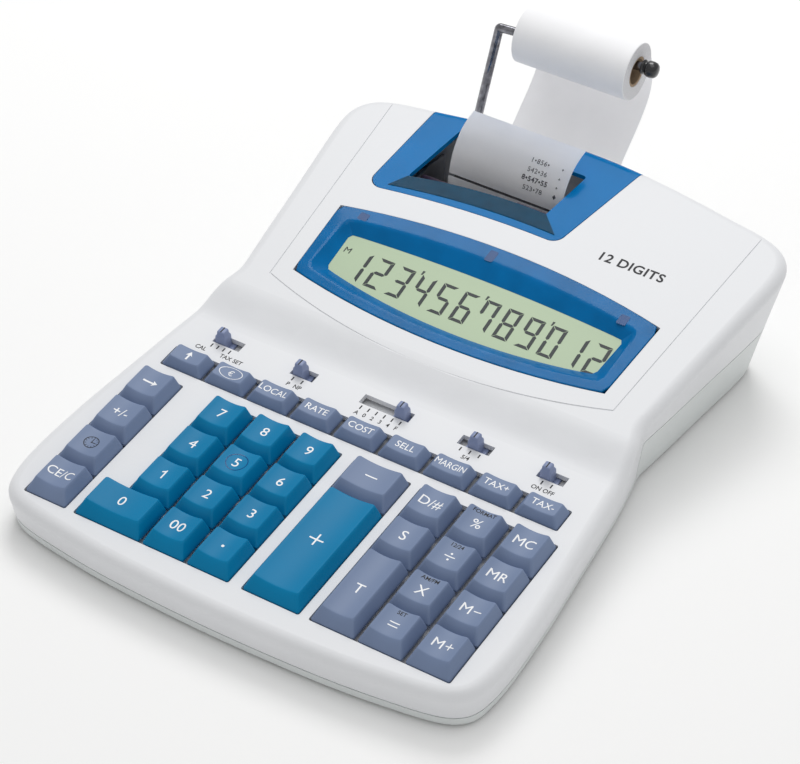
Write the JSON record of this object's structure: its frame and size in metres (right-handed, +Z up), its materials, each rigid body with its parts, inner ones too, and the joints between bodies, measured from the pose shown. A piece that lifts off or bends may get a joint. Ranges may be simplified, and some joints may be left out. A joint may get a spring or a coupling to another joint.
{
  "type": "printing desktop calculator",
  "caption": "Wedge-shaped printing desktop calculator with keypad, slide switches, tilted display, lift-off printer cover and a paper roll on a bent wire arm.",
  "frame": {"origin": "on the desk under the middle of the whole object, paper roll included", "axes": "+X to the machine's right, +Y to its back, +Z up; the keys face -Y and up"},
  "size_m": [0.226, 0.3446, 0.1032],
  "materials": {
    "case_grey": "fine spark-eroded texture",
    "key_blue": "satin",
    "key_slate": "satin",
    "knob_grey": "satin",
    "bezel_blue": "translucent, polished",
    "cover_blue": "translucent, polished",
    "display": "polished",
    "frame_steel": "brushed",
    "wire_chrome": "bright plated",
    "roller_rubber": "ground matte",
    "ink_felt": "porous",
    "paper": "uncoated",
    "core_card": "plain",
    "board": "solder mask"
  },
  "bodies": {
    "case": {"lower_case": "case_grey", "upper_case": "case_grey", "display_bezel": "bezel_blue", "lcd_module": "display", "printer_frame": "frame_steel", "paper_arm": "wire_chrome", "paper_web": "paper", "circuit_board": "board", "feet": "roller_rubber", "screws": "frame_steel"},
    "key_0": {"key_0": "key_blue"},
    "key_1": {"key_1": "key_blue"},
    "key_2": {"key_2": "key_blue"},
    "key_3": {"key_3": "key_blue"},
    "key_4": {"key_4": "key_blue"},
    "key_5": {"key_5": "key_blue"},
    "key_6": {"key_6": "key_blue"},
    "key_7": {"key_7": "key_blue"},
    "key_8": {"key_8": "key_blue"},
    "key_9": {"key_9": "key_blue"},
    "key_00": {"key_00": "key_blue"},
    "key_point": {"key_point": "key_blue"},
    "key_ce_c": {"key_ce_c": "key_slate"},
    "key_clock": {"key_clock": "key_slate"},
    "key_sign": {"key_sign": "key_slate"},
    "key_shift": {"key_shift": "key_slate"},
    "key_plus": {"key_plus": "key_blue"},
    "key_minus": {"key_minus": "key_slate"},
    "key_total": {"key_total": "key_slate"},
    "key_subtotal": {"key_subtotal": "key_slate"},
    "key_date": {"key_date": "key_slate"},
    "key_equals": {"key_equals": "key_slate"},
    "key_times": {"key_times": "key_slate"},
    "key_divide": {"key_divide": "key_slate"},
    "key_percent": {"key_percent": "key_slate"},
    "key_m_plus": {"key_m_plus": "key_slate"},
    "key_m_minus": {"key_m_minus": "key_slate"},
    "key_mr": {"key_mr": "key_slate"},
    "key_mc": {"key_mc": "key_slate"},
    "key_feed": {"key_feed": "key_slate"},
    "key_euro": {"key_euro": "key_slate"},
    "key_local": {"key_local": "key_slate"},
    "key_rate": {"key_rate": "key_slate"},
    "key_cost": {"key_cost": "key_slate"},
    "key_sell": {"key_sell": "key_slate"},
    "key_margin": {"key_margin": "key_slate"},
    "key_tax_plus": {"key_tax_plus": "key_slate"},
    "key_tax_minus": {"key_tax_minus": "key_slate"},
    "switch_rate": {"switch_rate": "knob_grey"},
    "switch_print": {"switch_print": "knob_grey"},
    "switch_decimal": {"switch_decimal": "knob_grey"},
    "switch_round": {"switch_round": "knob_grey"},
    "switch_power": {"switch_power": "knob_grey"},
    "printer_cover": {"printer_cover": "cover_blue", "paper_tail": "paper"},
    "paper_roll": {"paper_roll": "paper", "roll_core": "core_card"},
    "feed_roller": {"feed_roller": "roller_rubber"},
    "ink_roller": {"ink_roller": "ink_felt"},
    "battery_door": {"battery_door": "case_grey"}
  },
  "joints": [
    {"name": "key_0_press", "type": "slide", "parent": "case", "child": "key_0", "axis": [0, -0.0872, 0.9962], "range_m": [-0.0024, 0], "stiffness_N_per_m": 200, "springref_m": 0.001},
    {"name": "key_1_press", "type": "slide", "parent": "case", "child": "key_1", "axis": [0, -0.0872, 0.9962], "range_m": [-0.0024, 0], "stiffness_N_per_m": 200, "springref_m": 0.001},
    {"name": "key_2_press", "type": "slide", "parent": "case", "child": "key_2", "axis": [0, -0.0872, 0.9962], "range_m": [-0.0024, 0], "stiffness_N_per_m": 200, "springref_m": 0.001},
    {"name": "key_3_press", "type": "slide", "parent": "case", "child": "key_3", "axis": [0, -0.0872, 0.9962], "range_m": [-0.0024, 0], "stiffness_N_per_m": 200, "springref_m": 0.001},
    {"name": "key_4_press", "type": "slide", "parent": "case", "child": "key_4", "axis": [0, -0.0872, 0.9962], "range_m": [-0.0024, 0], "stiffness_N_per_m": 200, "springref_m": 0.001},
    {"name": "key_5_press", "type": "slide", "parent": "case", "child": "key_5", "axis": [0, -0.0872, 0.9962], "range_m": [-0.0024, 0], "stiffness_N_per_m": 200, "springref_m": 0.001},
    {"name": "key_6_press", "type": "slide", "parent": "case", "child": "key_6", "axis": [0, -0.0872, 0.9962], "range_m": [-0.0024, 0], "stiffness_N_per_m": 200, "springref_m": 0.001},
    {"name": "key_7_press", "type": "slide", "parent": "case", "child": "key_7", "axis": [0, -0.0872, 0.9962], "range_m": [-0.0024, 0], "stiffness_N_per_m": 200, "springref_m": 0.001},
    {"name": "key_8_press", "type": "slide", "parent": "case", "child": "key_8", "axis": [0, -0.0872, 0.9962], "range_m": [-0.0024, 0], "stiffness_N_per_m": 200, "springref_m": 0.001},
    {"name": "key_9_press", "type": "slide", "parent": "case", "child": "key_9", "axis": [0, -0.0872, 0.9962], "range_m": [-0.0024, 0], "stiffness_N_per_m": 200, "springref_m": 0.001},
    {"name": "key_00_press", "type": "slide", "parent": "case", "child": "key_00", "axis": [0, -0.0872, 0.9962], "range_m": [-0.0024, 0], "stiffness_N_per_m": 200, "springref_m": 0.001},
    {"name": "key_point_press", "type": "slide", "parent": "case", "child": "key_point", "axis": [0, -0.0872, 0.9962], "range_m": [-0.0024, 0], "stiffness_N_per_m": 200, "springref_m": 0.001},
    {"name": "key_ce_c_press", "type": "slide", "parent": "case", "child": "key_ce_c", "axis": [0, -0.0872, 0.9962], "range_m": [-0.0024, 0], "stiffness_N_per_m": 200, "springref_m": 0.001},
    {"name": "key_clock_press", "type": "slide", "parent": "case", "child": "key_clock", "axis": [0, -0.0872, 0.9962], "range_m": [-0.0024, 0], "stiffness_N_per_m": 200, "springref_m": 0.001},
    {"name": "key_sign_press", "type": "slide", "parent": "case", "child": "key_sign", "axis": [0, -0.0872, 0.9962], "range_m": [-0.0024, 0], "stiffness_N_per_m": 200, "springref_m": 0.001},
    {"name": "key_shift_press", "type": "slide", "parent": "case", "child": "key_shift", "axis": [0, -0.0872, 0.9962], "range_m": [-0.0024, 0], "stiffness_N_per_m": 200, "springref_m": 0.001},
    {"name": "key_plus_press", "type": "slide", "parent": "case", "child": "key_plus", "axis": [0, -0.0872, 0.9962], "range_m": [-0.0024, 0], "stiffness_N_per_m": 200, "springref_m": 0.001},
    {"name": "key_minus_press", "type": "slide", "parent": "case", "child": "key_minus", "axis": [0, -0.0872, 0.9962], "range_m": [-0.0024, 0], "stiffness_N_per_m": 200, "springref_m": 0.001},
    {"name": "key_total_press", "type": "slide", "parent": "case", "child": "key_total", "axis": [0, -0.0872, 0.9962], "range_m": [-0.0024, 0], "stiffness_N_per_m": 200, "springref_m": 0.001},
    {"name": "key_subtotal_press", "type": "slide", "parent": "case", "child": "key_subtotal", "axis": [0, -0.0872, 0.9962], "range_m": [-0.0024, 0], "stiffness_N_per_m": 200, "springref_m": 0.001},
    {"name": "key_date_press", "type": "slide", "parent": "case", "child": "key_date", "axis": [0, -0.0872, 0.9962], "range_m": [-0.0024, 0], "stiffness_N_per_m": 200, "springref_m": 0.001},
    {"name": "key_equals_press", "type": "slide", "parent": "case", "child": "key_equals", "axis": [0, -0.0872, 0.9962], "range_m": [-0.0024, 0], "stiffness_N_per_m": 200, "springref_m": 0.001},
    {"name": "key_times_press", "type": "slide", "parent": "case", "child": "key_times", "axis": [0, -0.0872, 0.9962], "range_m": [-0.0024, 0], "stiffness_N_per_m": 200, "springref_m": 0.001},
    {"name": "key_divide_press", "type": "slide", "parent": "case", "child": "key_divide", "axis": [0, -0.0872, 0.9962], "range_m": [-0.0024, 0], "stiffness_N_per_m": 200, "springref_m": 0.001},
    {"name": "key_percent_press", "type": "slide", "parent": "case", "child": "key_percent", "axis": [0, -0.0872, 0.9962], "range_m": [-0.0024, 0], "stiffness_N_per_m": 200, "springref_m": 0.001},
    {"name": "key_m_plus_press", "type": "slide", "parent": "case", "child": "key_m_plus", "axis": [0, -0.0872, 0.9962], "range_m": [-0.0024, 0], "stiffness_N_per_m": 200, "springref_m": 0.001},
    {"name": "key_m_minus_press", "type": "slide", "parent": "case", "child": "key_m_minus", "axis": [0, -0.0872, 0.9962], "range_m": [-0.0024, 0], "stiffness_N_per_m": 200, "springref_m": 0.001},
    {"name": "key_mr_press", "type": "slide", "parent": "case", "child": "key_mr", "axis": [0, -0.0872, 0.9962], "range_m": [-0.0024, 0], "stiffness_N_per_m": 200, "springref_m": 0.001},
    {"name": "key_mc_press", "type": "slide", "parent": "case", "child": "key_mc", "axis": [0, -0.0872, 0.9962], "range_m": [-0.0024, 0], "stiffness_N_per_m": 200, "springref_m": 0.001},
    {"name": "key_feed_press", "type": "slide", "parent": "case", "child": "key_feed", "axis": [0, -0.0872, 0.9962], "range_m": [-0.0024, 0], "stiffness_N_per_m": 200, "springref_m": 0.001},
    {"name": "key_euro_press", "type": "slide", "parent": "case", "child": "key_euro", "axis": [0, -0.0872, 0.9962], "range_m": [-0.0024, 0], "stiffness_N_per_m": 200, "springref_m": 0.001},
    {"name": "key_local_press", "type": "slide", "parent": "case", "child": "key_local", "axis": [0, -0.0872, 0.9962], "range_m": [-0.0024, 0], "stiffness_N_per_m": 200, "springref_m": 0.001},
    {"name": "key_rate_press", "type": "slide", "parent": "case", "child": "key_rate", "axis": [0, -0.0872, 0.9962], "range_m": [-0.0024, 0], "stiffness_N_per_m": 200, "springref_m": 0.001},
    {"name": "key_cost_press", "type": "slide", "parent": "case", "child": "key_cost", "axis": [0, -0.0872, 0.9962], "range_m": [-0.0024, 0], "stiffness_N_per_m": 200, "springref_m": 0.001},
    {"name": "key_sell_press", "type": "slide", "parent": "case", "child": "key_sell", "axis": [0, -0.0872, 0.9962], "range_m": [-0.0024, 0], "stiffness_N_per_m": 200, "springref_m": 0.001},
    {"name": "key_margin_press", "type": "slide", "parent": "case", "child": "key_margin", "axis": [0, -0.0872, 0.9962], "range_m": [-0.0024, 0], "stiffness_N_per_m": 200, "springref_m": 0.001},
    {"name": "key_tax_plus_press", "type": "slide", "parent": "case", "child": "key_tax_plus", "axis": [0, -0.0872, 0.9962], "range_m": [-0.0024, 0], "stiffness_N_per_m": 200, "springref_m": 0.001},
    {"name": "key_tax_minus_press", "type": "slide", "parent": "case", "child": "key_tax_minus", "axis": [0, -0.0872, 0.9962], "range_m": [-0.0024, 0], "stiffness_N_per_m": 200, "springref_m": 0.001},
    {"name": "switch_rate_slide", "type": "slide", "parent": "case", "child": "switch_rate", "axis": [1, 0, 0], "range_m": [-0.001, 0.0066]},
    {"name": "switch_print_slide", "type": "slide", "parent": "case", "child": "switch_print", "axis": [1, 0, 0], "range_m": [-0.0011, 0.0043]},
    {"name": "switch_decimal_slide", "type": "slide", "parent": "case", "child": "switch_decimal", "axis": [1, 0, 0], "range_m": [-0.0167, 0.0015]},
    {"name": "switch_round_slide", "type": "slide", "parent": "case", "child": "switch_round", "axis": [1, 0, 0], "range_m": [-0.0045, 0.0047]},
    {"name": "switch_power_slide", "type": "slide", "parent": "case", "child": "switch_power", "axis": [1, 0, 0], "range_m": [-0.0011, 0.0055]},
    {"name": "printer_cover_lift", "type": "slide", "parent": "case", "child": "printer_cover", "axis": [0, -0.184, 0.9829], "range_m": [0, 0.03]},
    {"name": "paper_roll_spin", "type": "hinge", "parent": "case", "child": "paper_roll", "pos_m": [-0.0235, 0.156, 0.0897], "axis": [1, 0, 0], "continuous": true},
    {"name": "feed_roller_spin", "type": "hinge", "parent": "case", "child": "feed_roller", "pos_m": [-0.0235, 0.098, 0.037], "axis": [1, 0, 0], "continuous": true},
    {"name": "ink_roller_spin", "type": "hinge", "parent": "case", "child": "ink_roller", "pos_m": [-0.005, 0.085, 0.048], "axis": [1, 0, 0], "continuous": true},
    {"name": "battery_door_slide", "type": "slide", "parent": "case", "child": "battery_door", "axis": [0, 1, 0], "range_m": [0, 0.012]}
  ]
}
